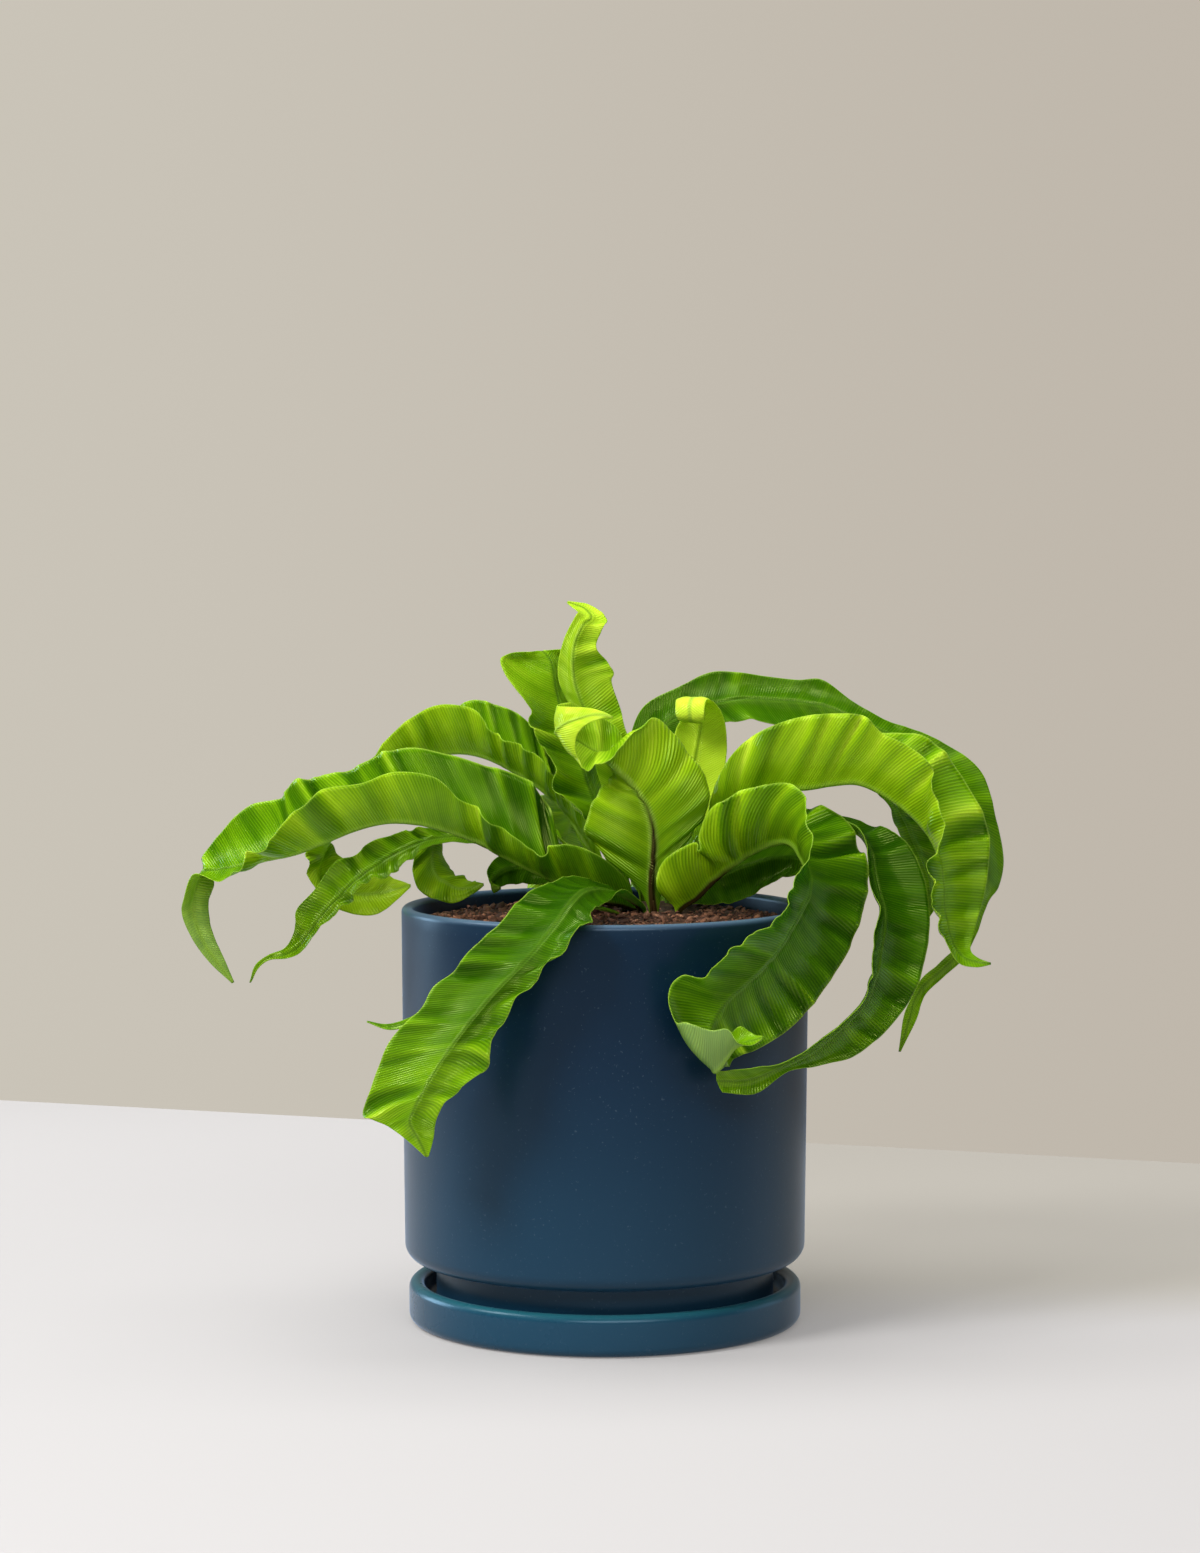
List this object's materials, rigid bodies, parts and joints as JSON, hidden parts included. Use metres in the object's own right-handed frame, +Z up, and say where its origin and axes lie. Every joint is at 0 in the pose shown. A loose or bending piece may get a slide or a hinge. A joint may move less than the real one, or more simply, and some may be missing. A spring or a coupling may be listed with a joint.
{
  "type": "potted fern",
  "caption": "Hurricane bird's nest fern with wavy, twisting strap fronds in a glazed navy ceramic pot that stands in a matching saucer.",
  "frame": {"origin": "centre of the saucer's underside, on the surface it stands on", "axes": "+Z up, +X to the right seen from the front, +Y away from the front"},
  "size_m": [0.3607, 0.2484, 0.3148],
  "materials": {
    "pot_glaze": "satin navy glaze",
    "saucer_glaze": "semi-gloss navy glaze, teal where it thins at the rim",
    "soil": "loose damp bark and peat grains",
    "crown": "dark scaly fibre",
    "leaf": "glossy, thin, slightly translucent",
    "dark_leaf": "glossy, thin, slightly translucent",
    "young_leaf": "glossy, thin, translucent"
  },
  "bodies": {
    "root": {"pot": "pot_glaze", "saucer": "saucer_glaze", "soil": "soil", "crown": "crown", "frond_left_long": "leaf", "frond_left_high": "leaf", "frond_left_low": "leaf", "frond_left_hook": "dark_leaf", "frond_left_curl": "leaf", "frond_tall": "young_leaf", "frond_upper_left": "leaf", "frond_front_upright": "young_leaf", "frond_young_curl": "young_leaf", "frond_right_arch": "leaf", "frond_right_sweep": "dark_leaf", "frond_right_drape": "dark_leaf", "frond_right_far": "leaf", "frond_right_back": "leaf", "frond_right_low": "dark_leaf", "frond_front_drape": "leaf", "frond_front_tendril": "leaf", "frond_back_middle": "leaf", "frond_back_left": "leaf", "frond_back_right": "leaf"}
  },
  "joints": []
}
